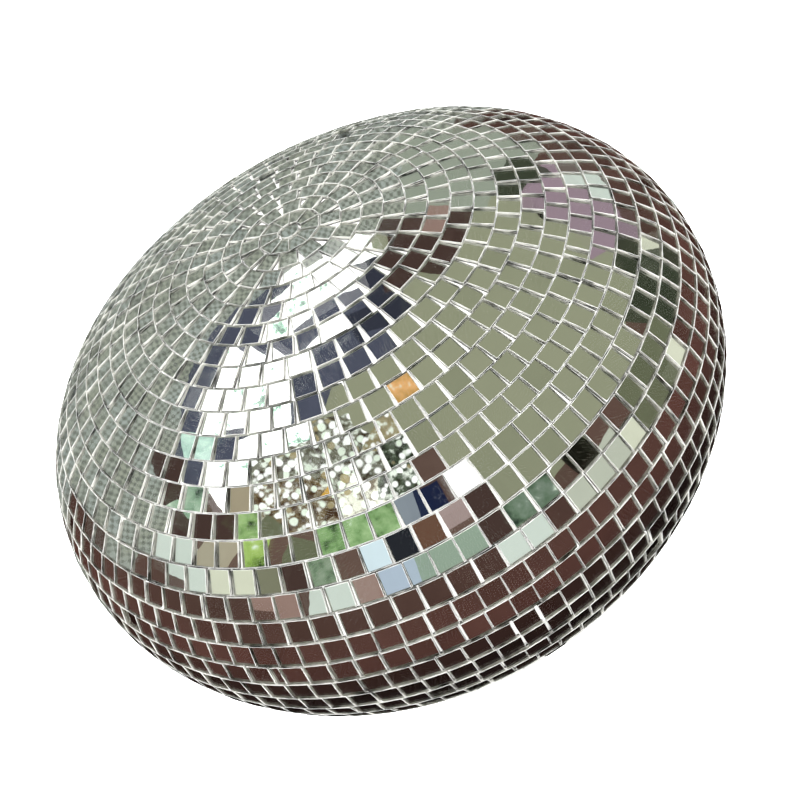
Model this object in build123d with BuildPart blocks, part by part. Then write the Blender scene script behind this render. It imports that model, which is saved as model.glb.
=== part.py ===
from build123d import *

import os
import random
from math import asin, atan, cos, degrees, floor, pi, radians, sin, tan

# A flattened mirror ball that hangs by a ring. Millimetres, +Z up. The origin is the inside
# top of the hanging ring, where a hook or motor pin carries it.

# ------------------------------------------------------------------ driving dimensions
# Outline over the mirror faces: three tangent arcs from each pole to the equator.
ball_radius = 190.0
crown_radius = 480.0
crown_angle = radians(8)
shoulder_radius = 235.0
shoulder_angle = radians(28)

# Layers, from the mirror faces inwards.
tile_side = 10.0
first_row_height = 9.2
rim_tile_height = 10.25
tile_thickness = 1.8
tile_lift = 0.1
bed_thickness = 0.9
shell_thickness = 2.6
hoop_thickness = 2.8
hoop_half_height = 15.0

# Rows of mirror tiles, counted from the lower pole upwards.
pole_tile_radius = 5.0
rows_below_equator = 22
rows_above_equator = 19
crown_rows = 14
crown_pitch = 10.6
pole_margin = 5.5
least_side_gap = 0.25
side_gap = 0.75
turn_jitter = 1.0
tilt_jitter = 0.3
row_seed = 4021
first_row_count = 10
early_rows = 4
early_row_ease = 2.0
trim_share = {1: 1.0, 2: 0.6, 3: 0.4, 4: 0.2}
least_filler = 3.5
filler_share = 0.7

# End cap and its clamp.
cap_radius = 36.0
cap_rise = 0.5
cap_sheet = 1.8
cap_edge_round = 1.6
hub_radius = 13.0
hub_height = 6.0
hub_round = 1.2
gasket_thickness = 1.5
gasket_inner_radius = 13.5
gasket_margin = 0.8
bed_clearance = 0.4
shell_hole_radius = 12.0
plate_radius = 34.0
plate_thickness = 4.5
screw_circle_radius = 25.0
screw_count = 4

# M5 screws and nuts.
screw_radius = 2.5
screw_hole_radius = 2.75
screw_head_radius = 4.6
screw_head_height = 3.0
screw_head_round = 1.5
recess_length = 4.6
recess_width = 1.1
recess_depth = 1.6
cap_screw_length = 16.0
safety_bolt_length = 20.0
nut_across_flats = 8.0
nut_height = 4.0

# Swivel eye and its bearing.
shank_radius = 4.0
bush_clearance = 0.05
bush_radius = 6.0
bush_flange_radius = 10.0
bush_flange_height = 2.0
bush_stand_out = 1.0
thrust_gap = 0.15
washer_radius = 9.5
washer_height = 2.0
lock_nut_across_flats = 13.0
lock_nut_height = 8.0
lock_nut_crown = 2.0
lock_nut_crown_step = 0.6
shank_beyond_nut = 2.5
shank_chamfer = 0.7
collar_radius = 7.0
collar_height = 3.0
collar_chamfer = 0.8
collar_gap = 0.4
eye_radius = 8.0
eye_wire_radius = 2.5
eye_sink = 0.8

# Hanging ring, bent from round wire and welded.
ring_radius = 14.5
ring_wire_radius = 2.0
ring_gap = 0.3

# Safety lug, for a second line to the ceiling.
lug_thickness = 3.0
lug_foot_thickness = 2.5
lug_width = 14.0
lug_foot_length = 12.0
lug_foot_round = 3.0
lug_offset = 25.0
lug_hole_radius = 4.0
lug_hole_height = 12.0

# ------------------------------------------------------------------ worked-out dimensions
crown_reach = crown_radius * sin(crown_angle)
shoulder_reach = shoulder_radius * (sin(shoulder_angle) - sin(crown_angle))
rim_radius = (ball_radius - crown_reach - shoulder_reach) / (1 - sin(shoulder_angle))
rim_centre = (ball_radius - rim_radius, 0.0)
shoulder_centre = (
    rim_centre[0] - (shoulder_radius - rim_radius) * sin(shoulder_angle),
    -(shoulder_radius - rim_radius) * cos(shoulder_angle),
)
crown_centre = (
    0.0,
    shoulder_centre[1] - (crown_radius - shoulder_radius) * cos(crown_angle),
)
half_height = crown_centre[1] + crown_radius
skin_arcs = (
    (crown_centre, crown_radius, 0.0, crown_angle),
    (shoulder_centre, shoulder_radius, crown_angle, shoulder_angle),
    (rim_centre, rim_radius, shoulder_angle, pi / 2),
)
half_girth = sum(radius * (high - low) for _, radius, low, high in skin_arcs)
crown_girth = pole_margin + crown_rows * crown_pitch
rim_rows = rows_below_equator - crown_rows
rim_pitch = (half_girth - crown_girth) / rim_rows

bed_inset = tile_thickness + tile_lift
shell_inset = bed_inset + bed_thickness
cavity_inset = shell_inset + shell_thickness
gasket_inset = shell_inset - gasket_thickness

# Heights above the ball's centre, up the stack of fittings.
cap_top = half_height + cap_rise
hub_top = cap_top + hub_height
plate_bottom = half_height - cavity_inset - plate_thickness
flange_bottom = plate_bottom - bush_flange_height
washer_bottom = flange_bottom - thrust_gap - washer_height
lock_nut_bottom = washer_bottom - lock_nut_height
bush_top = hub_top + bush_stand_out
collar_bottom = bush_top + collar_gap
collar_top = collar_bottom + collar_height
eye_height = collar_top + eye_radius + eye_wire_radius - eye_sink
ring_foot = eye_height + eye_radius - eye_wire_radius - ring_gap - ring_wire_radius
ring_height = ring_foot + ring_radius
hang_height = ring_height + ring_radius - ring_wire_radius

ball_z = -hang_height
section = Plane(origin=(0, 0, ball_z), x_dir=(1, 0, 0), z_dir=(0, -1, 0))
upper, lower = 1, -1


def level(height):
    """Turns a height above the ball's centre into a height in the part's own frame."""
    return ball_z + height


def disc(height):
    """A horizontal sketch plane at a height above the ball's centre."""
    return Plane.XY.offset(level(height))


def skin_point(angle, inset, half=upper):
    """The section's point where the surface normal leans `angle` away from the axis."""
    for centre, radius, low, high in skin_arcs:
        if angle <= high:
            break
    reach = radius - inset
    return centre[0] + reach * sin(angle), half * (centre[1] + reach * cos(angle))


def skin_line(inset, half, start, end=pi / 2):
    """Draws the outline, `inset` below the mirror faces, between two normal angles."""
    for centre, radius, low, high in skin_arcs:
        begin = max(low, start)
        finish = min(high, end)
        if finish > begin:
            CenterArc(
                (centre[0], half * centre[1]),
                radius - inset,
                half * (90 - degrees(begin)),
                half * degrees(begin - finish),
            )


def layer(outer_inset, inner_inset, half, outer_start=0.0, inner_start=0.0):
    """Sketches one layer of the ball from near a pole to the equator."""
    with BuildLine() as outline:
        skin_line(outer_inset, half, outer_start)
        skin_line(inner_inset, half, inner_start)
        Line(
            skin_point(outer_start, outer_inset, half),
            skin_point(inner_start, inner_inset, half),
        )
        Line(
            skin_point(pi / 2, outer_inset, half),
            skin_point(pi / 2, inner_inset, half),
        )
    make_face(outline.edges())


def crown_slope(radius, inset):
    """The normal's angle where the crown arc stands at `radius` from the axis."""
    return asin(radius / (crown_radius - inset))


def is_round(edge, radius):
    return abs(edge.radius - radius) < 0.01


def lug_bolt_place():
    return lug_thickness / 2 + lug_foot_length / 2, lug_offset


def clamp_places():
    """The four cap screws, then the safety bolt, as points in plan."""
    step = 2 * pi / screw_count
    angles = [step * (i + 0.5) for i in range(screw_count)]
    screws = [(screw_circle_radius * cos(a), screw_circle_radius * sin(a)) for a in angles]
    return screws + [lug_bolt_place()]


def finish(builder, name):
    builder.part.label = name
    export_step(builder.part, f"parts/{name}.step")


os.makedirs("parts", exist_ok=True)

# ------------------------------------------------------------------ the hollow body
with BuildPart() as lower_shell:
    with BuildSketch(section):
        layer(shell_inset, cavity_inset, lower)
    revolve(axis=Axis.Z)
finish(lower_shell, "lower_shell")

with BuildPart() as upper_shell:
    with BuildSketch(section):
        layer(
            shell_inset,
            cavity_inset,
            upper,
            crown_slope(shell_hole_radius, shell_inset),
            crown_slope(shell_hole_radius, cavity_inset),
        )
    revolve(axis=Axis.Z)
    with BuildSketch(disc(plate_bottom)):
        with Locations(*clamp_places()):
            Circle(screw_hole_radius)
    extrude(amount=cap_top - plate_bottom, mode=Mode.SUBTRACT)
finish(upper_shell, "upper_shell")

with BuildPart() as equator_hoop:
    half_arc = asin(hoop_half_height / (rim_radius - cavity_inset))
    outer_reach = rim_radius - cavity_inset
    inner_reach = outer_reach - hoop_thickness
    with BuildSketch(section):
        with BuildLine():
            ends = []
            for reach in (outer_reach, inner_reach):
                arc = CenterArc(
                    rim_centre, reach, -degrees(half_arc), 2 * degrees(half_arc)
                )
                ends.append((arc @ 0, arc @ 1))
            Line(ends[0][0], ends[1][0])
            Line(ends[0][1], ends[1][1])
        make_face()
    revolve(axis=Axis.Z)
finish(equator_hoop, "equator_hoop")

# ------------------------------------------------------------------ the bed that holds the tiles
with BuildPart() as lower_bed:
    with BuildSketch(section):
        layer(bed_inset, shell_inset, lower)
    revolve(axis=Axis.Z)
finish(lower_bed, "lower_bed")

with BuildPart() as upper_bed:
    bed_hole = cap_radius + bed_clearance
    with BuildSketch(section):
        layer(
            bed_inset,
            shell_inset,
            upper,
            crown_slope(bed_hole, bed_inset),
            crown_slope(bed_hole, shell_inset),
        )
    revolve(axis=Axis.Z)
finish(upper_bed, "upper_bed")

# ------------------------------------------------------------------ end cap, gasket and load plate
with BuildPart() as cap_gasket:
    with BuildSketch(section):
        with BuildLine():
            rims = [gasket_inner_radius, cap_radius - gasket_margin]
            slopes = {}
            for inset in (gasket_inset, shell_inset):
                slopes[inset] = [crown_slope(rim, inset) for rim in rims]
                skin_line(inset, upper, *slopes[inset])
            for end in (0, 1):
                Line(
                    skin_point(slopes[gasket_inset][end], gasket_inset),
                    skin_point(slopes[shell_inset][end], shell_inset),
                )
        make_face()
    revolve(axis=Axis.Z)
    with BuildSketch(disc(half_height - cavity_inset)):
        with Locations(*clamp_places()):
            Circle(screw_hole_radius)
    extrude(amount=cap_top, mode=Mode.SUBTRACT)
finish(cap_gasket, "cap_gasket")

with BuildPart() as end_cap:
    hub_inner_radius = hub_radius - cap_sheet
    inner_slope = crown_slope(hub_inner_radius, gasket_inset)
    edge_slope = crown_slope(cap_radius, gasket_inset)
    under_edge = skin_point(edge_slope, gasket_inset)
    under_hub = skin_point(inner_slope, gasket_inset)
    with BuildSketch(section):
        with BuildLine():
            skin_line(gasket_inset, upper, inner_slope, edge_slope)
            Polyline(
                under_edge,
                (cap_radius, cap_top),
                (hub_radius, cap_top),
                (hub_radius, hub_top),
                (bush_radius, hub_top),
                (bush_radius, hub_top - cap_sheet),
                (hub_inner_radius, hub_top - cap_sheet),
                under_hub,
            )
        make_face()
    revolve(axis=Axis.Z)
    cap_edges = end_cap.edges().filter_by(GeomType.CIRCLE)
    fillet(cap_edges.filter_by(lambda e: is_round(e, cap_radius)).sort_by(Axis.Z)[-1], cap_edge_round)
    fillet(cap_edges.filter_by(lambda e: is_round(e, hub_radius)), hub_round)
    with BuildSketch(disc(half_height - cavity_inset)):
        with Locations(*clamp_places()):
            Circle(screw_hole_radius)
    extrude(amount=cap_top, mode=Mode.SUBTRACT)
finish(end_cap, "end_cap")

with BuildPart() as load_plate:
    bore_slope = crown_slope(bush_radius, cavity_inset)
    plate_slope = crown_slope(plate_radius, cavity_inset)
    with BuildSketch(section):
        with BuildLine():
            skin_line(cavity_inset, upper, bore_slope, plate_slope)
            Polyline(
                skin_point(plate_slope, cavity_inset),
                (plate_radius, plate_bottom),
                (bush_radius, plate_bottom),
                skin_point(bore_slope, cavity_inset),
            )
        make_face()
    revolve(axis=Axis.Z)
    with BuildSketch(disc(plate_bottom)):
        with Locations(*clamp_places()):
            Circle(screw_hole_radius)
    extrude(amount=plate_thickness, mode=Mode.SUBTRACT)
finish(load_plate, "load_plate")


# ------------------------------------------------------------------ screws and nuts
def pan_screw(places, seat, length):
    """Adds pan-head screws with a cross recess, heads seated at a height."""
    with BuildSketch(disc(seat - length)) as shank:
        with Locations(*places):
            Circle(screw_radius)
    extrude(shank.sketch, amount=length)
    with BuildSketch(disc(seat)) as head:
        with Locations(*places):
            Circle(screw_head_radius)
    heads = extrude(head.sketch, amount=screw_head_height)
    fillet(heads.edges().group_by(Axis.Z)[-1], screw_head_round)
    with BuildSketch(disc(seat + screw_head_height)) as recess:
        with Locations(*places):
            Rectangle(recess_length, recess_width)
            Rectangle(recess_width, recess_length)
    extrude(recess.sketch, amount=-recess_depth, mode=Mode.SUBTRACT)


with BuildPart() as cap_screws:
    pan_screw(clamp_places()[:screw_count], cap_top, cap_screw_length)
finish(cap_screws, "cap_screws")

with BuildPart() as safety_bolt:
    pan_screw([lug_bolt_place()], cap_top + lug_foot_thickness, safety_bolt_length)
finish(safety_bolt, "safety_bolt")

with BuildPart() as clamp_nuts:
    with BuildSketch(disc(plate_bottom)):
        with Locations(*clamp_places()):
            RegularPolygon(nut_across_flats / 2, 6, major_radius=False)
            Circle(screw_radius, mode=Mode.SUBTRACT)
    extrude(amount=-nut_height)
finish(clamp_nuts, "clamp_nuts")

# ------------------------------------------------------------------ swivel
with BuildPart() as swivel_bush:
    with BuildSketch(disc(flange_bottom)):
        Circle(bush_flange_radius)
    extrude(amount=bush_flange_height)
    with BuildSketch(disc(plate_bottom)):
        Circle(bush_radius)
    extrude(amount=bush_top - plate_bottom)
    with BuildSketch(disc(flange_bottom)):
        Circle(shank_radius + bush_clearance)
    extrude(amount=bush_top - flange_bottom, mode=Mode.SUBTRACT)
finish(swivel_bush, "swivel_bush")

with BuildPart() as swivel_eye:
    with Locations((0, 0, level(eye_height))):
        Torus(eye_radius, eye_wire_radius, rotation=(90, 0, 0))
    with BuildSketch(disc(collar_bottom)):
        Circle(collar_radius)
    collar = extrude(amount=collar_height)
    chamfer(collar.edges().group_by(Axis.Z)[-1], collar_chamfer)
    shank_bottom = lock_nut_bottom - shank_beyond_nut
    with BuildSketch(disc(shank_bottom)):
        Circle(shank_radius)
    extrude(amount=collar_bottom - shank_bottom)
    chamfer(swivel_eye.edges().group_by(Axis.Z)[0], shank_chamfer)
finish(swivel_eye, "swivel_eye")

with BuildPart() as thrust_washer:
    with BuildSketch(disc(washer_bottom)):
        Circle(washer_radius)
        Circle(shank_radius, mode=Mode.SUBTRACT)
    extrude(amount=washer_height)
finish(thrust_washer, "thrust_washer")

with BuildPart() as lock_nut:
    with BuildSketch(disc(lock_nut_bottom + lock_nut_crown)):
        RegularPolygon(lock_nut_across_flats / 2, 6, major_radius=False)
    extrude(amount=lock_nut_height - lock_nut_crown)
    with BuildSketch(disc(lock_nut_bottom)):
        Circle(lock_nut_across_flats / 2 - lock_nut_crown_step)
    extrude(amount=lock_nut_crown)
    with BuildSketch(disc(lock_nut_bottom)):
        Circle(shank_radius)
    extrude(amount=lock_nut_height, mode=Mode.SUBTRACT)
finish(lock_nut, "lock_nut")

with BuildPart() as hanging_ring:
    with Locations((0, 0, level(ring_height))):
        Torus(ring_radius, ring_wire_radius, rotation=(0, 90, 0))
finish(hanging_ring, "hanging_ring")

# ------------------------------------------------------------------ safety lug
with BuildPart() as safety_lug:
    lug_plane = Plane(
        origin=(-lug_thickness / 2, lug_offset, level(cap_top)), x_dir=(0, 1, 0), z_dir=(1, 0, 0)
    )
    with BuildSketch(lug_plane):
        with Locations((0, lug_hole_height / 2)):
            Rectangle(lug_width, lug_hole_height)
        with Locations((0, lug_hole_height)):
            Circle(lug_width / 2)
            Circle(lug_hole_radius, mode=Mode.SUBTRACT)
    extrude(amount=lug_thickness)
    with BuildSketch(disc(cap_top)):
        with Locations((lug_foot_length / 2, lug_offset)):
            Rectangle(lug_thickness + lug_foot_length, lug_width)
    extrude(amount=lug_foot_thickness)
    foot_corners = safety_lug.edges().filter_by(Axis.Z).group_by(Axis.X)[-1]
    fillet(foot_corners, lug_foot_round)
    with BuildSketch(disc(cap_top)):
        with Locations(lug_bolt_place()):
            Circle(screw_hole_radius)
    extrude(amount=lug_foot_thickness, mode=Mode.SUBTRACT)
finish(safety_lug, "safety_lug")

# ------------------------------------------------------------------ mirror tiles
with BuildPart() as pole_tile:
    with BuildSketch(disc(-half_height)):
        Circle(pole_tile_radius)
    extrude(amount=tile_thickness)
finish(pole_tile, "pole_tile")


def girth_point(girth):
    """Radius, height and normal angle at a distance along the skin from the lower pole."""
    half = lower if girth <= half_girth else upper
    run = girth if half == lower else 2 * half_girth - girth
    for centre, radius, low, high in skin_arcs:
        length = radius * (high - low)
        if run <= length:
            break
        run -= length
    angle = low + min(run, length) / radius
    reach, height = skin_point(angle, 0, half)
    return reach, height, angle if half == lower else pi - angle


def tile_plane(girth, bearing):
    """A tile's plane: x along the row, y away from the lower pole, z outwards."""
    reach, height, angle = girth_point(girth)
    origin = (reach * cos(bearing), reach * sin(bearing), level(height))
    normal = (sin(angle) * cos(bearing), sin(angle) * sin(bearing), -cos(angle))
    return Plane(origin=origin, x_dir=(-sin(bearing), cos(bearing), 0), z_dir=normal)


def widths_for(row, count, near_radius, far_radius, dice):
    """Widths of each tile at its pole side and far side; the first rows are trimmed to fit."""
    near = min(tile_side, 2 * near_radius * tan(pi / count) - least_side_gap)
    far = min(tile_side, 2 * far_radius * tan(pi / count) - least_side_gap)
    widths = []
    for _ in range(count):
        trimmed = dice.random() < trim_share.get(row, 0.0)
        widths.append((near, far if trimmed else near))
    return widths


def half_turn(width, gap, radius):
    """Half the angle that a tile and its joint take up on a circle."""
    return atan((width + gap) / (2 * radius))


def is_rim_row(row):
    return crown_rows < row <= crown_rows + 2 * rim_rows


def tile_height(row):
    if row == 1:
        return first_row_height
    return rim_tile_height if is_rim_row(row) else tile_side


def row_girth(row):
    """Distance along the skin from the lower pole to the middle of a row."""
    if row <= crown_rows:
        return pole_margin + (row - 0.5) * crown_pitch
    if is_rim_row(row):
        return crown_girth + (row - crown_rows - 0.5) * rim_pitch
    from_upper_pole = pole_margin + (2 * rows_below_equator - row + 0.5) * crown_pitch
    return 2 * half_girth - from_upper_pole


def plan_row(row):
    """Places the tiles of a row: plane, width at the pole side, width at the far side."""
    dice = random.Random(row_seed + row)
    girth = row_girth(row)
    reach, _, angle = girth_point(girth)
    towards_pole = tile_height(row) / 2 * cos(angle)
    back = tile_thickness * sin(angle)
    tight = reach - abs(towards_pole) - back
    near_radius = reach - towards_pole - back
    far_radius = reach + towards_pole - back
    if row == 1:
        count = first_row_count
    elif row <= early_rows:
        count = round(pi / half_turn(tile_side, side_gap, reach - early_row_ease))
    else:
        count = floor(pi / half_turn(tile_side, side_gap, tight))
    widths = widths_for(row, count, near_radius, far_radius, dice)
    slack = 0.0
    if row > early_rows:
        spare = 2 * pi - count * 2 * half_turn(tile_side, side_gap, tight)
        filler = spare * tight - side_gap
        if filler > least_filler:
            widths.append((filler * filler_share, filler * filler_share))
        slack = 2 * pi - sum(2 * half_turn(max(w), least_side_gap, tight) for w in widths)
    shares = [dice.random() ** 2 for _ in widths]
    total = sum(shares)
    bearing = dice.random() * 2 * pi
    tiles = []
    for width, share in zip(widths, shares):
        half_step = pi / count if row <= early_rows else half_turn(max(width), least_side_gap, tight)
        bearing += half_step + slack * share / total / 2
        turn = Location(
            (0, 0, 0),
            (
                dice.uniform(-tilt_jitter, tilt_jitter),
                dice.uniform(-tilt_jitter, tilt_jitter),
                dice.uniform(-turn_jitter, turn_jitter),
            ),
        )
        tiles.append((tile_plane(girth, bearing).location * turn, width))
        bearing += half_step + slack * share / total / 2
    return tiles


def tile_row(row):
    """Builds one row of separate glass tiles."""
    inwards = (Align.CENTER, Align.CENTER, Align.MAX)
    height = tile_height(row)
    tiles = plan_row(row)
    with BuildPart() as tile_group:
        for near, far in sorted({width for _, width in tiles}):
            places = [place for place, width in tiles if width == (near, far)]
            if near == far:
                with Locations(*places):
                    Box(near, height, tile_thickness, align=inwards)
            else:
                for place in places:
                    with BuildSketch(Plane(place)):
                        with BuildLine():
                            Polyline(
                                (-near / 2, -height / 2),
                                (near / 2, -height / 2),
                                (far / 2, height / 2),
                                (-far / 2, height / 2),
                                close=True,
                            )
                        make_face()
                    extrude(amount=-tile_thickness)
    return tile_group


for row in range(1, rows_below_equator + rows_above_equator + 1):
    finish(tile_row(row), f"tile_row_{row:02d}")

print("half height", round(half_height, 3), "hang height", round(hang_height, 3))
print("rim radius", round(rim_radius, 3), "rim pitch", round(rim_pitch, 3))
print("ring foot", round(level(ring_foot), 3), "lug hole", round(level(cap_top + lug_hole_height), 3))
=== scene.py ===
"""The looks of the flattened mirror ball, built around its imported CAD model. Metres."""

import math
import random

import bpy
import numpy as np
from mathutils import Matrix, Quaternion, Vector, noise


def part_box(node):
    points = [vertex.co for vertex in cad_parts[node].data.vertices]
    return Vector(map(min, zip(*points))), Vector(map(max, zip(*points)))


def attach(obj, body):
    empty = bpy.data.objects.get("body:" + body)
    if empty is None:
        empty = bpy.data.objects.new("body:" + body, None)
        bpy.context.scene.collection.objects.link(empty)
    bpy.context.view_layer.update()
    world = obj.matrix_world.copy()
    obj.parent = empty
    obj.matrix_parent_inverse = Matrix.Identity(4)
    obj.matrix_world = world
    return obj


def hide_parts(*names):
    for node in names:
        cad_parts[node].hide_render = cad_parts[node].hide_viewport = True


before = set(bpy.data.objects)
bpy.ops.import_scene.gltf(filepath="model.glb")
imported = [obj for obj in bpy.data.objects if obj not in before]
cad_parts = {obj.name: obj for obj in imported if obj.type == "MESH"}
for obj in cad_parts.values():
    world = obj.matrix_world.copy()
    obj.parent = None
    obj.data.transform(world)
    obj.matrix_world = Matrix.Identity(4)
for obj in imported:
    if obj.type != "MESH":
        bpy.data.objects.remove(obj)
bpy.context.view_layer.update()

MM = 0.001
ROW_NODES = sorted(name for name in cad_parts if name.startswith("tile_row_"))

# ------------------------------------------------------------------ sizes
# read from the frame
EQUATOR_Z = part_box("lower_shell")[1].z
POLE_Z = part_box("pole_tile")[0].z
BALL_CENTRE = Vector((0, 0, EQUATOR_Z))
BED_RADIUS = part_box("lower_bed")[1].x
TILE_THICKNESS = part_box("pole_tile")[1].z - POLE_Z
# the same as in the part: layers, and the three arcs of the outline from pole to equator
BED_THICKNESS = 0.9 * MM
TILE_LIFT = 0.1 * MM
SKIN_RADIUS = 0.190
CROWN_RADIUS = 0.480
SHOULDER_RADIUS = 0.235
CROWN_ANGLE = math.radians(8)
SHOULDER_ANGLE = math.radians(28)


# ------------------------------------------------------------------ materials
def linear(red, green, blue):
    """Turns a display colour, 0 to 255, into scene-linear light."""
    def one(value):
        share = value / 255
        return share / 12.92 if share <= 0.04045 else ((share + 0.055) / 1.055) ** 2.4

    return one(red), one(green), one(blue), 1.0


class Shader:
    """A material and short ways to add and join its nodes."""

    def __init__(self, name):
        self.material = bpy.data.materials.new(name)
        self.material.use_nodes = True
        self.tree = self.material.node_tree
        self.tree.nodes.clear()
        self.output = self.tree.nodes.new("ShaderNodeOutputMaterial")

    def node(self, kind, inputs=None, **settings):
        made = self.tree.nodes.new("ShaderNode" + kind)
        for key, value in settings.items():
            setattr(made, key, value)
        for key, value in (inputs or {}).items():
            self.put(made.inputs[key], value)
        return made

    def put(self, socket, value):
        if hasattr(value, "is_output"):
            self.tree.links.new(value, socket)
        else:
            socket.default_value = value

    def ramp(self, factor, stops, mode="LINEAR"):
        made = self.node("ValToRGB", {"Fac": factor})
        band = made.color_ramp
        band.interpolation = mode
        while len(band.elements) < len(stops):
            band.elements.new(0.5)
        for element, (place, colour) in zip(band.elements, stops):
            element.position = place
            element.color = colour
        return made.outputs["Color"]

    def mix(self, factor, one, two, blend="MIX"):
        made = self.node("Mix", data_type="RGBA", blend_type=blend)
        self.put(made.inputs["Factor"], factor)
        self.put(made.inputs["A"], one)
        self.put(made.inputs["B"], two)
        return made.outputs["Result"]

    def math(self, operation, *values):
        made = self.node("Math", operation=operation)
        for socket, value in zip(made.inputs, values):
            self.put(socket, value)
        return made.outputs[0]

    def range(self, value, low, high, new_low, new_high):
        inputs = {
            "Value": value, "From Min": low, "From Max": high, "To Min": new_low, "To Max": new_high,
        }
        return self.node("MapRange", inputs).outputs["Result"]

    def noise(self, scale, detail=2.0, roughness=0.5, vector=None):
        made = self.node("TexNoise", {"Scale": scale, "Detail": detail, "Roughness": roughness})
        self.tree.links.new(vector or self.place(), made.inputs["Vector"])
        return made.outputs["Fac"]

    def place(self, stretch=(1, 1, 1)):
        coordinates = self.node("TexCoord").outputs["Object"]
        if stretch == (1, 1, 1):
            return coordinates
        return self.node("Mapping", {"Vector": coordinates, "Scale": stretch}).outputs["Vector"]

    def bump(self, height, strength, distance):
        inputs = {"Height": height, "Strength": strength, "Distance": distance}
        return self.node("Bump", inputs).outputs["Normal"]

    def principled(self, **inputs):
        made = self.node("BsdfPrincipled")
        for key, value in inputs.items():
            self.put(made.inputs[key.replace("_", " ")], value)
        self.tree.links.new(made.outputs["BSDF"], self.output.inputs["Surface"])
        return self.material


def silver_material():
    """The silver coat on a tile's back, a little different from tile to tile."""
    s = Shader("silver_coat")
    tile_tone = s.node("NewGeometry").outputs["Random Per Island"]
    silver = s.ramp(tile_tone, [
        (0.0, (0.8, 0.82, 0.79, 1)), (0.12, (0.9, 0.92, 0.89, 1)), (1.0, (0.97, 0.98, 0.96, 1)),
    ])
    rough = s.range(s.noise(420, 4, 0.6), 0.35, 0.75, 0.002, 0.014)
    relief = s.bump(s.noise(140, 1), 0.02, 0.0002)
    return s.principled(Base_Color=silver, Metallic=1.0, Roughness=rough, Normal=relief)


def glass_front_material():
    """The clear, faintly green glass of a tile, with rough specks of dust on it in places."""
    s = Shader("glass_front")
    speck = s.node("TexVoronoi", {"Scale": 1900.0, "Vector": s.place()}).outputs["Distance"]
    speck = s.range(speck, 0.1, 0.22, 0.6, 0.0)
    patchy = s.range(s.noise(38, 2), 0.42, 0.58, 0.0, 1.0)
    dust = s.math("MULTIPLY", speck, patchy)
    clear = (0.975, 0.99, 0.978, 1)
    return s.principled(Base_Color=clear, Roughness=dust, IOR=1.5, Transmission_Weight=1.0)


def frosted(s, tone, rough, through, normal):
    """Frosted glass edge: part of the light scatters back and part passes through."""
    surface = s.node("BsdfPrincipled", {"Base Color": tone, "Roughness": rough, "Normal": normal})
    passed = s.node("BsdfTranslucent", {"Color": tone, "Normal": normal})
    both = s.node("MixShader", {"Fac": through})
    s.tree.links.new(surface.outputs["BSDF"], both.inputs[1])
    s.tree.links.new(passed.outputs["BSDF"], both.inputs[2])
    s.tree.links.new(both.outputs["Shader"], s.output.inputs["Surface"])
    return s.material


def arris_material():
    """The ground arris round each tile: frosted, almost white glass."""
    s = Shader("ground_edge")
    grain = s.noise(500, 2)
    tone = s.ramp(grain, [
        (0.3, (0.9, 0.92, 0.9, 1)), (0.5, (0.97, 0.98, 0.97, 1)), (0.75, (0.99, 0.99, 0.98, 1)),
    ])
    return frosted(s, tone, 0.35, 0.3, s.bump(grain, 0.1, 0.0001))


def cut_glass_material():
    """The snapped sides of the tiles: pale, with streaks that run along the cut."""
    s = Shader("cut_glass_side")
    side = s.node("UVMap", uv_map="side").outputs["UV"]
    along = s.node("Mapping", {"Vector": side, "Scale": (110, 2600, 1)}).outputs["Vector"]
    streak = s.noise(1.0, 2, 0.6, along)
    coarse = s.noise(70, 2)
    both = s.math("ADD", s.math("MULTIPLY", streak, 0.6), s.math("MULTIPLY", coarse, 0.4))
    tone = s.ramp(both, [
        (0.43, (0.03, 0.034, 0.03, 1)), (0.46, (0.3, 0.3, 0.27, 1)), (0.5, (0.88, 0.87, 0.81, 1)),
        (0.62, (0.99, 0.985, 0.96, 1)),
    ])
    return frosted(s, tone, 0.25, 0.5, s.bump(streak, 0.2, 0.0002))


def backing_material():
    """Dark protective paint behind the silver."""
    s = Shader("back_paint")
    grain = s.noise(1200, 3)
    tone = s.mix(grain, (0.02, 0.021, 0.022, 1), (0.07, 0.068, 0.065, 1))
    return s.principled(Base_Color=tone, Roughness=0.5)


def bed_material():
    """White adhesive, a little glossy, yellowed and dusty in places."""
    s = Shader("adhesive_bed")
    lumps = s.noise(260, 4, 0.6)
    stain = s.noise(24, 4, 0.65)
    tone = s.ramp(stain, [
        (0.3, (0.95, 0.95, 0.93, 1)), (0.62, (0.93, 0.93, 0.9, 1)), (0.8, (0.8, 0.77, 0.68, 1)),
    ])
    rough = s.range(lumps, 0.3, 0.7, 0.3, 0.6)
    return s.principled(Base_Color=tone, Roughness=rough, Normal=s.bump(lumps, 0.5, 0.0005))


def shell_material():
    """Moulded plastic with a fine grain."""
    s = Shader("shell_plastic")
    grain = s.noise(700, 3)
    tone = s.mix(s.noise(18, 3), (0.62, 0.62, 0.6, 1), (0.72, 0.72, 0.7, 1))
    rough = s.range(grain, 0.3, 0.7, 0.35, 0.55)
    return s.principled(Base_Color=tone, Roughness=rough, Normal=s.bump(grain, 0.25, 0.0003))


def metal_material(name, colour, rough, wear, grain_scale=900.0, stretch=(1, 1, 1)):
    """Plated or turned metal with rubbed patches and a fine directional grain."""
    s = Shader(name)
    grain = s.noise(grain_scale, 3, 0.6, s.place(stretch))
    rub = s.noise(55, 4, 0.65)
    darker = tuple(share * 0.72 for share in colour) + (1,)
    tone = s.mix(s.range(rub, 0.35, 0.7, 0.0, 1.0), colour + (1,), darker)
    fine = s.range(grain, 0.3, 0.7, rough * 0.7, rough * 1.4)
    uneven = s.math("ADD", fine, s.range(rub, 0.5, 0.8, 0.0, wear))
    relief = s.bump(grain, 0.15, 0.0001)
    return s.principled(Base_Color=tone, Metallic=1.0, Roughness=uneven, Normal=relief)


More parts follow.
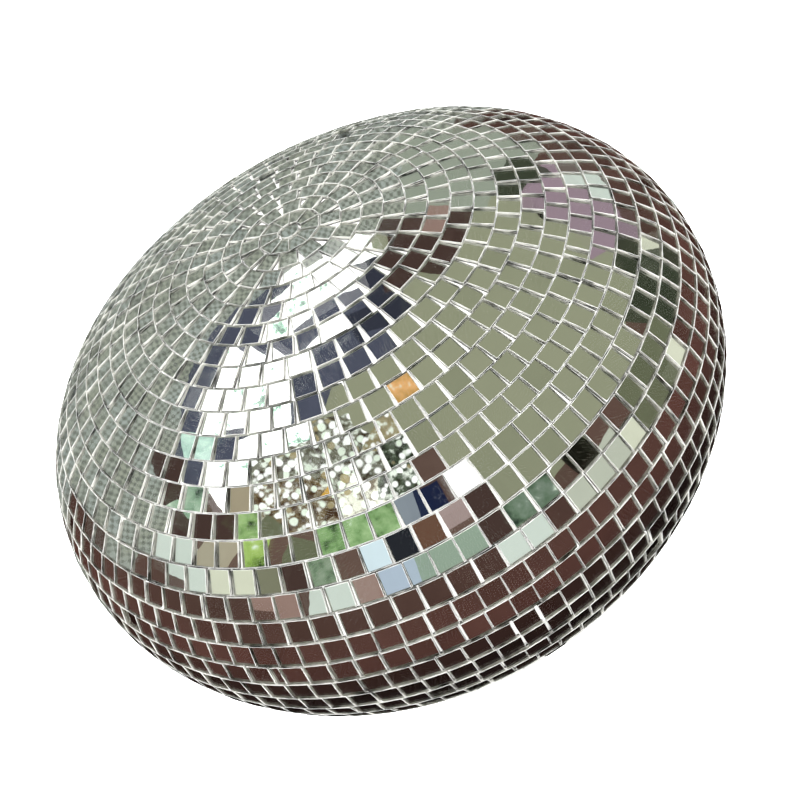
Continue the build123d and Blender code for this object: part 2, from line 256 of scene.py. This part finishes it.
def rubber_material():
    """Dull black rubber with a fine grain."""
    s = Shader("gasket_rubber")
    grain = s.noise(1500, 3)
    tone = s.mix(s.noise(60, 3), (0.018, 0.018, 0.018, 1), (0.045, 0.045, 0.043, 1))
    rough = s.range(grain, 0.3, 0.7, 0.55, 0.8)
    return s.principled(Base_Color=tone, Roughness=rough, Normal=s.bump(grain, 0.4, 0.0003))


MATERIALS = {
    "front": glass_front_material(),
    "silver": silver_material(),
    "arris": arris_material(),
    "glass": cut_glass_material(),
    "backing": backing_material(),
    "bed": bed_material(),
    "shell": shell_material(),
    "chrome": metal_material("cap_chrome", (0.83, 0.84, 0.86), 0.07, 0.12, 1400.0),
    "wire": metal_material("zinc_wire", (0.66, 0.67, 0.69), 0.24, 0.18, 500.0, (1, 3, 1)),
    "zinc": metal_material("zinc_steel", (0.6, 0.61, 0.63), 0.3, 0.2),
    "screw": metal_material("screw_steel", (0.62, 0.63, 0.66), 0.22, 0.2),
    "brass": metal_material("turned_brass", (0.72, 0.52, 0.22), 0.2, 0.15),
    "rubber": rubber_material(),
}


def dress(node, *names):
    """Gives a CAD node or a piece its materials."""
    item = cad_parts[node] if isinstance(node, str) else node
    item.data.materials.clear()
    for name in names:
        item.data.materials.append(MATERIALS[name])


# ------------------------------------------------------------------ mesh helpers
def mesh_piece(name, points, faces, body="ball", smooth=False, stage=False):
    """A mesh that moves with a body, or belongs to the stage."""
    mesh = bpy.data.meshes.new(name)
    mesh.from_pydata([tuple(p) for p in points], [], faces)
    mesh.validate()
    mesh.update()
    piece = bpy.data.objects.new(name, mesh)
    bpy.context.scene.collection.objects.link(piece)
    if smooth:
        mesh.polygons.foreach_set("use_smooth", [True] * len(mesh.polygons))
    if stage:
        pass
    else:
        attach(piece, body)
    return piece


def ring_faces(rings, count):
    """Quads between rings of `count` points, with the last ring joined back to the first."""
    faces = []
    for ring in range(rings):
        here = ring * count
        there = (ring + 1) % rings * count
        for step in range(count):
            after = (step + 1) % count
            faces.append((here + step, here + after, there + after, there + step))
    return faces


def revolve(name, outline, segments):
    """Turns a closed outline of (radius, height) about the vertical axis, as part of the ball."""
    points = []
    for radius, height in outline:
        for step in range(segments):
            turn = 2 * math.pi * step / segments
            points.append((radius * math.cos(turn), radius * math.sin(turn), height))
    return mesh_piece(name, points, ring_faces(len(outline), segments), smooth=True)


# ------------------------------------------------------------------ the skin's outline
RIM_RADIUS = (
    SKIN_RADIUS
    - CROWN_RADIUS * math.sin(CROWN_ANGLE)
    - SHOULDER_RADIUS * (math.sin(SHOULDER_ANGLE) - math.sin(CROWN_ANGLE))
) / (1 - math.sin(SHOULDER_ANGLE))
# each arc's radius and the angles from the lower pole where it starts and ends
ARCS = (
    (CROWN_RADIUS, 0.0, CROWN_ANGLE),
    (SHOULDER_RADIUS, CROWN_ANGLE, SHOULDER_ANGLE),
    (RIM_RADIUS, SHOULDER_ANGLE, math.pi / 2),
)
HALF_GIRTH = sum(radius * (high - low) for radius, low, high in ARCS)
GIRTH = 2 * HALF_GIRTH


def skin_point(girth, inset):
    """(radius, height) at a distance along the skin from the lower pole, some way below the faces."""
    above = girth > HALF_GIRTH
    run = GIRTH - girth if above else girth
    reach, depth = SKIN_RADIUS - RIM_RADIUS, 0.0
    angle = math.pi / 2
    for radius, low, high in ARCS:
        if run <= radius * (high - low):
            angle = low + run / radius
            break
        run -= radius * (high - low)
    if angle < SHOULDER_ANGLE:
        reach -= (SHOULDER_RADIUS - RIM_RADIUS) * math.sin(SHOULDER_ANGLE)
        depth -= (SHOULDER_RADIUS - RIM_RADIUS) * math.cos(SHOULDER_ANGLE)
    if angle < CROWN_ANGLE:
        reach -= (CROWN_RADIUS - SHOULDER_RADIUS) * math.sin(CROWN_ANGLE)
        depth -= (CROWN_RADIUS - SHOULDER_RADIUS) * math.cos(CROWN_ANGLE)
    height = depth + (radius - inset) * math.cos(angle)
    reach += (radius - inset) * math.sin(angle)
    return reach, EQUATOR_Z + height if above else EQUATOR_Z - height


# ------------------------------------------------------------------ mirror tiles
ARRIS = 0.06 * MM
ARRIS_DEPTH = 0.06 * MM
ARRIS_FALL = 0.15  # how much deeper a wider arris or a chip cuts
PAINT = 0.5 * MM
PAINT_SLIT = 0.002 * MM
EDGE_STEPS = 4
EDGE_WOBBLE = 0.018 * MM
CHIP_CHANCE = 0.012
CHIP_SIZE = 0.5 * MM
TILE_TILT = math.radians(0.45)
STREAK_STEP = 2.5 * MM  # length of cut side between two points, in the streaks' own map
DISC_SEGMENTS = 64
DISC_SEED = 5
FIRST_ROW_SEED = 700


def split_tiles(node):
    """Splits a CAD row into its tiles, each an array of its corners."""
    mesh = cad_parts[node].data
    points = np.array([v.co for v in mesh.vertices])
    _, first, index = np.unique(points.round(6), axis=0, return_index=True, return_inverse=True)
    index = index.reshape(-1)
    corners = points[first]
    parent = np.arange(len(corners))

    def root(item):
        while parent[item] != item:
            parent[item] = parent[parent[item]]
            item = parent[item]
        return item

    for face in mesh.polygons:
        ends = [root(index[v]) for v in face.vertices]
        for end in ends[1:]:
            parent[end] = ends[0]
    groups = {}
    for item in range(len(corners)):
        groups.setdefault(root(item), []).append(item)
    return [corners[members] for _, members in sorted(groups.items())]


def tile_frame(corners):
    """A tile's middle, side axes, outward normal, front outline in the side axes, and thickness."""
    middle = corners.mean(0)
    spread = np.linalg.svd(corners - middle)[2]
    normal = spread[2]
    if normal @ (middle - np.array(BALL_CENTRE)) < 0:
        normal = -normal
    along = np.array((-middle[1], middle[0], 0.0))
    along -= (along @ normal) * normal
    along /= np.linalg.norm(along)
    across = np.cross(normal, along)
    height = (corners - middle) @ normal
    front = corners[height > 0] - middle
    outline = np.stack([front @ along, front @ across], 1)
    order = np.argsort(np.arctan2(outline[:, 1], outline[:, 0]))
    return middle, along, across, normal, outline[order], height.max() - height.min()


def glass_tile(corners, dice):
    """One cut glass tile as five rings of points, from its front face to the back of its paint."""
    middle, along, across, normal, outline, thickness = tile_frame(corners)
    middle = middle + normal * thickness / 2
    rim = []
    for start, end in zip(outline, np.roll(outline, -1, axis=0)):
        for step in range(EDGE_STEPS):
            rim.append(start + (end - start) * step / EDGE_STEPS)
    rim = np.array(rim)
    half = np.abs(outline).max(0)
    wobble = np.array([[dice.uniform(-1, 1), dice.uniform(-1, 1)] for _ in rim]) * EDGE_WOBBLE
    cut = np.array([dice.uniform(0.6, 1.5) for _ in rim]) * ARRIS
    for corner in range(len(outline)):
        if dice.random() < CHIP_CHANCE:
            cut[corner * EDGE_STEPS] += dice.uniform(0.4, 1.0) * CHIP_SIZE
    inner = rim * (1 - cut[:, None] / half)
    outer = rim + wobble
    slope = np.array((dice.gauss(0, TILE_TILT), dice.gauss(0, TILE_TILT)))
    drop = np.array([dice.uniform(0.6, 1.5) for _ in rim]) * ARRIS_DEPTH
    drop = drop + cut * ARRIS_FALL + outer @ slope
    every = np.ones(len(rim))
    silver = thickness - PAINT
    layers = (
        (inner, inner @ slope), (outer, drop), (outer, every * silver),
        (outer, every * (silver + PAINT_SLIT)), (outer, every * thickness),
    )
    return [
        middle + flat[:, :1] * along + flat[:, 1:] * across - depth[:, None] * normal
        for flat, depth in layers
    ]


class Glazing:
    """Gathers tiles, each a clear glass body silvered on its back and a coat of paint behind it."""

    # sides as (upper ring, lower ring, slot); caps as (ring, slot, whether the cap faces backwards)
    LAYERS = ((0, 1, 1), (1, 2, 2), (3, 4, 4))
    CAPS = ((0, 0, False), (2, 3, True), (3, 4, False), (4, 4, True))

    def __init__(self):
        self.points, self.faces, self.slots, self.strips = [], [], [], []
        self.size = 0

    def add(self, rings):
        """Adds a tile from its five rings of points, front to back."""
        count = len(rings[0])
        offset = self.size * MM
        for upper, lower, slot in self.LAYERS:
            high, low = self.size + upper * count, self.size + lower * count
            depth = np.linalg.norm(rings[lower][0] - rings[upper][0])
            for step in range(count):
                after = (step + 1) % count
                self.faces.append((high + step, low + step, low + after, high + after))
                self.slots.append(slot)
                run = offset + step * STREAK_STEP
                stop = run + STREAK_STEP
                self.strips += [(run, 0), (run, depth), (stop, depth), (stop, 0)]
        for ring, slot, back in self.CAPS:
            face = [self.size + ring * count + step for step in range(count)]
            self.faces.append(tuple(reversed(face)) if back else tuple(face))
            self.slots.append(slot)
            self.strips += [(offset, 0)] * count
        self.points += rings
        self.size += count * len(rings)

    def piece(self, name, node):
        """Makes the tiles one piece in place of a CAD node."""
        made = mesh_piece(name, np.concatenate(self.points), self.faces)
        dress(made, "front", "arris", "glass", "silver", "backing")
        made.data.polygons.foreach_set("material_index", self.slots)
        strips = made.data.uv_layers.new(name="side")
        strips.data.foreach_set("uv", np.array(self.strips).ravel())
        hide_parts(node)


def tile_row(node, seed):
    """Builds a row of glass tiles in place of the CAD row."""
    dice = random.Random(seed)
    glazing = Glazing()
    for corners in split_tiles(node):
        glazing.add(glass_tile(corners, dice))
    glazing.piece(node + "_glass", node)


def pole_disc():
    """The round mirror at the lower pole."""
    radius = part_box("pole_tile")[1].x
    dice = random.Random(DISC_SEED)
    cuts = np.array([dice.uniform(0.7, 1.4) * ARRIS for _ in range(DISC_SEGMENTS)])
    turns = -2 * math.pi * np.arange(DISC_SEGMENTS) / DISC_SEGMENTS
    silver = TILE_THICKNESS - PAINT
    layers = (
        (1, 0.0), (0, ARRIS_DEPTH), (0, silver), (0, silver + PAINT_SLIT), (0, TILE_THICKNESS),
    )
    rings = []
    for inset, depth in layers:
        reach = radius - inset * cuts
        height = np.full(DISC_SEGMENTS, POLE_Z + depth)
        rings.append(np.stack([reach * np.cos(turns), reach * np.sin(turns), height], 1))
    glazing = Glazing()
    glazing.add(rings)
    glazing.piece("pole_disc_glass", "pole_tile")


# ------------------------------------------------------------------ adhesive bed
BED_INSET = SKIN_RADIUS - BED_RADIUS
BED_INSET_TO_SHELL = TILE_THICKNESS + TILE_LIFT + BED_THICKNESS
BED_RIPPLE = 0.04 * MM
BED_LUMP = 4 * MM
BED_STEP = 2.0 * MM
BED_SEGMENTS = 540
BED_POLE_GAP = 0.5 * MM
BED_CAP_GAP = 0.6 * MM


def adhesive_bed(node, low, high):
    """The bed under the tiles between two distances along the skin, with a lumpy surface."""
    rings = max(2, round((high - low) / BED_STEP))
    girths = [low + (high - low) * i / rings for i in range(rings + 1)]
    outline = [skin_point(girth, BED_INSET) for girth in girths]
    back = [skin_point(girth, BED_INSET_TO_SHELL) for girth in reversed(girths)]
    piece = revolve(node + "_squeezed", outline + back, BED_SEGMENTS)
    count = len(outline) * BED_SEGMENTS
    for vertex in piece.data.vertices[:count]:
        lump = noise.noise(vertex.co / BED_LUMP) * BED_RIPPLE
        outwards = (vertex.co - BALL_CENTRE).normalized()
        vertex.co += outwards * lump
    dress(piece, "bed")
    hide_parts(node)


# ------------------------------------------------------------------ fittings
RING_STEPS = 160
WIRE_STEPS = 28


def upright_torus(centre, radius, wire):
    """Points and faces of a closed ring of round wire, upright and facing along X."""
    points = []
    for step in range(RING_STEPS):
        turn = 2 * math.pi * step / RING_STEPS
        for part in range(WIRE_STEPS):
            spin = 2 * math.pi * part / WIRE_STEPS
            reach = radius + wire * math.cos(spin)
            side = wire * math.sin(spin)
            flat, height = reach * math.cos(turn), reach * math.sin(turn)
            points.append((centre.x + side, centre.y + flat, centre.z + height))
    return points, ring_faces(RING_STEPS, WIRE_STEPS)


def hanging_ring():
    """The ring of wire that carries the ball."""
    low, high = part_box("hanging_ring")
    wire = (high.x - low.x) / 2
    radius = (high.y - low.y) / 2 - wire
    points, faces = upright_torus((low + high) / 2, radius, wire)
    piece = mesh_piece("hanging_ring_wire", points, faces, "ring", smooth=True)
    dress(piece, "wire")
    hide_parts("hanging_ring")


hanging_ring()
pole_disc()
for number, row_node in enumerate(ROW_NODES):
    tile_row(row_node, FIRST_ROW_SEED + number)

CAP_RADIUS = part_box("end_cap")[1].x
adhesive_bed("lower_bed", BED_POLE_GAP, HALF_GIRTH)
adhesive_bed("upper_bed", HALF_GIRTH, GIRTH - CAP_RADIUS - BED_CAP_GAP)

for node, name in {
    "lower_shell": "shell", "upper_shell": "shell", "equator_hoop": "shell",
    "end_cap": "chrome", "cap_gasket": "rubber", "load_plate": "zinc", "safety_lug": "zinc",
    "cap_screws": "screw", "safety_bolt": "screw", "clamp_nuts": "screw", "lock_nut": "zinc",
    "thrust_washer": "zinc", "swivel_bush": "brass", "swivel_eye": "wire",
}.items():
    dress(node, name)

# ------------------------------------------------------------------ studio
SURROUND_RADIUS = 2.5
ROOM_MARGIN = 0.4
BOARD_STEP = 0.004
BOARD_DEGREES = 3


def glow(name, build):
    """A light-giving stage material; build(shader) gives its colour and its strength."""
    s = Shader(name)
    colour, strength = build(s)
    lamp = s.node("Emission", {"Color": colour, "Strength": strength})
    s.tree.links.new(lamp.outputs["Emission"], s.output.inputs["Surface"])
    s.material.cycles.emission_sampling = "NONE"
    return s.material


def direction(azimuth, elevation):
    """Azimuth 0 is the camera's side (-Y) and grows towards +X; degrees."""
    a, e = math.radians(azimuth), math.radians(elevation)
    return Vector((math.sin(a) * math.cos(e), -math.cos(a) * math.cos(e), math.sin(e)))


def only_reflected(item):
    """Leaves an item to reflections alone."""
    item.visible_camera = False
    item.visible_diffuse = False
    item.visible_volume_scatter = False
    item.visible_shadow = False


def board(order, name, azimuths, elevations, build):
    """A patch of the surroundings between two azimuths and two elevations; later ones lie in front."""
    reach = SURROUND_RADIUS - order * BOARD_STEP
    steps_a = max(2, round(abs(azimuths[1] - azimuths[0]) / BOARD_DEGREES))
    steps_e = max(2, round(abs(elevations[1] - elevations[0]) / BOARD_DEGREES))
    points, faces, angles = [], [], []
    for i in range(steps_a + 1):
        for j in range(steps_e + 1):
            a = azimuths[0] + (azimuths[1] - azimuths[0]) * i / steps_a
            e = elevations[0] + (elevations[1] - elevations[0]) * j / steps_e
            points.append(BALL_CENTRE + direction(a, e) * reach)
            angles.append((a, e))
    for i in range(steps_a):
        for j in range(steps_e):
            here = i * (steps_e + 1) + j
            faces.append((here, here + 1, here + steps_e + 2, here + steps_e + 1))
    card = mesh_piece(name, points, faces, stage=True)
    layer = card.data.uv_layers.new(name="angles")
    for loop in card.data.loops:
        layer.data[loop.index].uv = angles[loop.vertex_index]
    card.data.materials.append(glow(name, build))
    only_reflected(card)


def plain(red, green, blue, strength=1.18, mottle=0.07):
    """A plain wall or board: one colour with slow, slight mottling."""
    def build(s):
        colour = linear(red, green, blue)
        dim = tuple(c * (1 - mottle * 2) for c in colour[:3]) + (1,)
        return s.mix(s.noise(9, 3, 0.6), dim, colour), strength

    return build


def weave(s):
    """Grey-green woven cane: a fine dotted weave with light coming through."""
    angles = s.node("UVMap", uv_map="angles").outputs["UV"]
    across = s.node("SeparateXYZ", {"Vector": angles})
    wobble = s.math("MULTIPLY", s.noise(9, 2), 3.0)
    rows = s.math("SINE", s.math("ADD", s.math("MULTIPLY", across.outputs["X"], 8.0), wobble))
    columns = s.math("SINE", s.math("ADD", s.math("MULTIPLY", across.outputs["Y"], 9.5), wobble))
    soft = s.range(s.math("MULTIPLY", rows, columns), -0.6, 0.4, 0.0, 1.0)
    patches = s.range(s.noise(3, 3), 0.4, 0.6, 0.0, 1.0)
    light = s.mix(patches, linear(162, 166, 153), linear(166, 174, 170))
    return s.mix(soft, linear(112, 116, 108), light), 1.08


def bokeh(dark, light, share=0.3, strength=1.3):
    """Out-of-focus leaves: bright discs before a dark, mottled ground."""
    def build(s):
        spots = s.node("TexVoronoi", {"Scale": 34.0, "Vector": s.place(), "Randomness": 1.0})
        disc = s.range(spots.outputs["Distance"], share, share + 0.16, 1.0, 0.0)
        pick = s.node("SeparateColor", {"Color": spots.outputs["Color"]}).outputs["Green"]
        glint = s.ramp(pick, [
            (0.0, linear(255, 255, 255)), (0.5, linear(226, 236, 222)), (0.72, linear(*light)),
            (0.9, linear(150, 138, 104)),
        ], "CONSTANT")
        ground = s.ramp(s.noise(30, 3, 0.6), [
            (0.4, linear(*dark)), (0.54, linear(*light)), (0.66, linear(226, 232, 222)),
        ])
        return s.mix(disc, ground, glint), strength

    return build


def leaves(red, green, blue, strength=1.25):
    """Near leaves: one green with deep shade and a few pale edges."""
    def build(s):
        shade = s.ramp(s.noise(13, 4, 0.6), [
            (0.34, linear(red * 0.3, green * 0.35, blue * 0.35)),
            (0.47, linear(red, green, blue)),
            (0.62, linear(red * 1.1 + 20, min(255, green * 1.1 + 12), blue + 30)),
            (0.72, linear(228, 242, 226)),
        ])
        return shade, strength

    return build


def daylight(s):
    """Glaring white daylight with a few pale leaves in front."""
    leaf = s.noise(11, 4, 0.7)
    glare = s.ramp(leaf, [
        (0.36, linear(88, 112, 100)), (0.4, linear(150, 184, 166)), (0.43, linear(255, 255, 255)),
    ])
    return glare, 2.4


def surround():
    """The dark reddish-brown room that closes round everything."""
    radius = SURROUND_RADIUS + ROOM_MARGIN
    bpy.ops.mesh.primitive_uv_sphere_add(
        segments=64, ring_count=32, radius=radius, location=BALL_CENTRE)
    room = bpy.context.object
    room.name = "surround"

    def build(s):
        height = s.node("SeparateXYZ", {"Vector": s.node("TexCoord").outputs["Object"]}).outputs["Z"]
        share = s.math("DIVIDE", height, radius)
        wall = s.ramp(s.range(share, -0.6, 1.0, 0.0, 1.0), [
            (0.0, linear(104, 84, 76)), (0.36, linear(84, 62, 56)), (0.6, linear(96, 64, 58)),
            (0.76, linear(50, 34, 31)), (0.88, linear(16, 12, 12)),
        ])
        shadow = s.range(s.noise(1.6, 5, 0.65), 0.35, 0.7, 0.0, 0.55)
        return s.mix(shadow, wall, linear(52, 36, 33)), 1.15

    room.data.materials.append(glow("surround", build))
    only_reflected(room)


FRAME_NAVY = plain(84, 87, 104, mottle=0.2)
DEEP_NAVY = plain(52, 54, 66)
OLIVE = plain(145, 147, 124, 1.16, 0.05)
DARK_BROWN = plain(70, 54, 50)
PINK_BROWN = plain(150, 124, 116)
CREAM = plain(214, 216, 196)
PALE = plain(206, 216, 208)
MAUVE = plain(150, 130, 142)
DARK_LEAF = plain(66, 72, 58, mottle=0.25)
DUSKY_GREEN = plain(104, 108, 86)
GREY_GREEN = plain(146, 164, 148)
WHITE = plain(255, 255, 255, 2.0)

BOARDS = (
    # the woven screen and what stands by it
    ("weave_screen", (97, 208), (-45, -2), weave),
    ("weave_high", (126, 208), (-3, 24), weave),
    ("grey_wall", (200, 224), (-46, -10), plain(148, 155, 142)),
    # the table top below
    ("table", (-138, -12), (-89.5, -20), OLIVE),
    ("table_side", (-168, -137), (-89.5, -41), OLIVE),
    ("table_near", (-12, 92), (-89.5, -76), OLIVE),
    ("table_far", (92, 196), (-89.5, -72), OLIVE),
    # the bright opening and its frames
    ("daylight", (101, 194), (-73, -42), daylight),
    ("daylight_low", (92, 112), (-62, -47), daylight),
    ("frame_top", (106, 174), (-46, -41), FRAME_NAVY),
    ("frame_top_far", (156, 163), (-54, -42), FRAME_NAVY),
    ("frame_bar", (160, 190), (-59.5, -54.5), FRAME_NAVY),
    ("frame_foot", (118, 197), (-76, -65.5), FRAME_NAVY),
    ("frame_side", (180, 205), (-68, -59), DEEP_NAVY),
    ("frame_corner", (190, 206), (-60, -47), DEEP_NAVY),
    ("mullion_low", (112, 122), (-70, -54), FRAME_NAVY),
    ("mullion_high", (109, 118), (-55, -48), FRAME_NAVY),
    ("leaf_pane", (116, 126), (-54, -44), leaves(150, 182, 170, 1.5)),
    ("shadow_post", (105, 121), (-43, -35), DARK_BROWN),
    ("brown_corner", (196, 219), (-57, -40), DARK_BROWN),
    ("pink_corner", (206, 214), (-44, -40), PINK_BROWN),
    # leaves and stones
    ("stones", (22, 106), (-81, -56), bokeh((56, 46, 36), (112, 112, 98), 0.42)),
    ("stones_white", (20, 58), (-72, -57), bokeh((96, 84, 66), (206, 206, 192), 0.5, 1.7)),
    ("stones_brown", (52, 86), (-66, -50), bokeh((62, 44, 30), (112, 98, 74), 0.38)),
    ("shade_low", (8, 34), (-78, -66), bokeh((34, 34, 28), (74, 84, 68), 0.32)),
    ("beige_dots", (20, 60), (-85, -79), bokeh((132, 120, 92), (146, 136, 106), 0.24)),
    ("gold_spot", (-150, -84), (-88, -83.5), leaves(196, 152, 92)),
    ("gold_leaf", (64, 70), (-67.5, -65), plain(226, 178, 84, 1.2, 0.2)),
    ("beige_post", (86, 95), (-55, -49), plain(164, 152, 130)),
    ("brown_band", (84, 101), (-46, -35), DARK_BROWN),
    ("green_pane", (98, 106), (-47, -38), leaves(132, 160, 136)),
    ("lime_high", (77, 86), (-51, -44), leaves(136, 170, 108, 1.15)),
    ("lime_low", (64, 75), (-44, -35), leaves(140, 172, 88, 1.15)),
    ("dusk_leaf", (66, 78), (-55, -47), DUSKY_GREEN),
    ("dusk_leaf_low", (52, 62), (-46, -38), DUSKY_GREEN),
    ("leaf_bright", (24, 52), (-54, -38), leaves(120, 154, 102)),
    ("purple_brown", (32, 45), (-44, -36), plain(84, 62, 60)),
    ("leaf_low", (38, 48), (-34, -24), leaves(112, 132, 108)),
    ("brown_low", (48, 56), (-35, -25), DARK_BROWN),
    ("grey_low", (56, 64), (-34, -24), plain(124, 124, 104)),
    ("cream_low", (64, 80), (-31, -13), CREAM),
    ("pale_low", (79, 99), (-32, -16), PALE),
    ("beige_low", (77, 85), (-38, -30), plain(168, 160, 140)),
    ("pink_low", (47, 66), (-22, -13), PINK_BROWN),
    ("pale_front", (29, 46), (-22, -10), PALE),
    ("pale_blue", (21, 31), (-42, -33), plain(208, 224, 234, 1.3)),
    ("tan_edge", (21, 24), (-42, -33), plain(170, 126, 90)),
    ("pink_front", (25, 35), (-30, -20), PINK_BROWN),
    ("blue_grey", (15, 25), (-27, -15), plain(176, 190, 208)),
    ("slate", (14, 23), (-50, -28), plain(38, 40, 46)),
    ("blue_grey_high", (12, 24), (-61, -52), plain(134, 142, 152)),
    ("navy_board", (1, 13), (-56, -46), plain(24, 34, 62)),
    ("white_board", (-13, -1), (-60, -48), WHITE),
    ("mauve_front", (-6, 3), (-47, -38), plain(166, 146, 144)),
    ("brown_front", (3, 14), (-44, -34), plain(104, 72, 58)),
    ("blue_leaf", (-20, -10), (-49, -40), leaves(120, 146, 156)),
    ("brown_side", (-16, -5), (-40, -20), DARK_BROWN),
    ("grey_green", (-3, 17), (-35, -18), GREY_GREEN),
    ("cream_front", (-5, 1), (-18, -10), CREAM),
    ("leaf_side", (-30, -11), (-33, -17), leaves(92, 112, 92)),
    ("pale_side", (-21, -5), (-19, -2), PALE),
    ("black_tile", (-39, -32), (-28, -18), plain(26, 26, 20)),
    ("grey_side", (-48, -27), (-17, 2), plain(186, 190, 176)),
    ("cream_side", (-54, -46), (-10, 0), CREAM),
    # the far right
    ("mauve_wall", (-133, -105), (-33, -14), MAUVE),
    ("dark_pane", (-139, -131), (-33, -20), DARK_LEAF),
    ("black_pane", (-127, -121), (-37, -33), plain(22, 22, 20)),
    ("pale_pane", (-131, -118), (-20, -14), PALE),
    ("leaf_wall", (-103, -80), (-24, 4), DARK_LEAF),
    ("leaf_wall_low", (-80, -56), (-15, 4), DUSKY_GREEN),
    ("pale_slot", (-106, -100), (-12, -3), CREAM),
    ("pale_post", (-77, -70), (3, 12), CREAM),
    # panels overhead and behind, for the other sides of the ball
    ("high_weave", (126, 200), (30, 60), weave),
    ("high_pale", (-158, -132), (30, 56), PALE),
    ("ceiling_panel", (130, 230), (62, 80), plain(246, 246, 240, 1.4)),
)

surround()
for board_order, board_facts in enumerate(BOARDS, start=1):
    board(board_order, *board_facts)

FLOOR_Z = -1.35
FLOOR_REACH = 9
floor_corners = [
    (x * FLOOR_REACH, y * FLOOR_REACH, FLOOR_Z) for x, y in ((-1, -1), (1, -1), (1, 1), (-1, 1))
]
floor = mesh_piece("floor", floor_corners, [(0, 1, 2, 3)], stage=True)
floor_paint = Shader("floor_paint")
floor_tone = floor_paint.mix(floor_paint.noise(3, 4), (0.8, 0.8, 0.79, 1), (0.86, 0.86, 0.85, 1))
floor.data.materials.append(floor_paint.principled(Base_Color=floor_tone, Roughness=0.6))
floor.visible_glossy = False
floor.visible_transmission = False

WORLD_STRENGTH = 4.0
world = bpy.data.worlds.new("pale_room")
bpy.context.scene.world = world
world.use_nodes = True
background = world.node_tree.nodes["Background"]
background.inputs["Color"].default_value = (1.0, 1.0, 1.0, 1.0)
background.inputs["Strength"].default_value = WORLD_STRENGTH


def soft_light(name, azimuth, elevation, away, size, power):
    """A round lamp aimed at the ball, which no mirror or camera sees."""
    lamp = bpy.data.lights.new(name, "AREA")
    lamp.shape = "DISK"
    lamp.size = size
    lamp.energy = power
    item = bpy.data.objects.new(name, lamp)
    bpy.context.scene.collection.objects.link(item)
    item.location = BALL_CENTRE + direction(azimuth, elevation) * away
    item.rotation_mode = "QUATERNION"
    item.rotation_quaternion = (BALL_CENTRE - item.location).to_track_quat("-Z", "Y")
    item.visible_glossy = False
    item.visible_transmission = False
    item.visible_camera = False


soft_light("key", 150, -35, 1.6, 0.9, 14)
soft_light("fill", -60, -40, 1.8, 1.2, 8)
soft_light("top", 30, 60, 1.8, 1.0, 12)

# ------------------------------------------------------------------ camera
CAMERA_LENS = 32.35
CAMERA_DISTANCE = 0.4232
CAMERA_ELEVATION = -42.41
CAMERA_ROLL = math.radians(150.15)
CAMERA_AIM = BALL_CENTRE + Vector((-0.0055, -0.0170, 0.0165))

camera_data = bpy.data.cameras.new("camera")
camera_data.lens = CAMERA_LENS
camera_data.clip_start = 0.01
camera = bpy.data.objects.new("camera", camera_data)
bpy.context.scene.collection.objects.link(camera)
camera.location = BALL_CENTRE + direction(0, CAMERA_ELEVATION) * CAMERA_DISTANCE
camera.rotation_mode = "QUATERNION"
look = (CAMERA_AIM - camera.location).to_track_quat("-Z", "Y")
camera.rotation_quaternion = look @ Quaternion((0, 0, 1), CAMERA_ROLL)
bpy.context.scene.camera = camera
bpy.context.scene.view_settings.view_transform = "Standard"
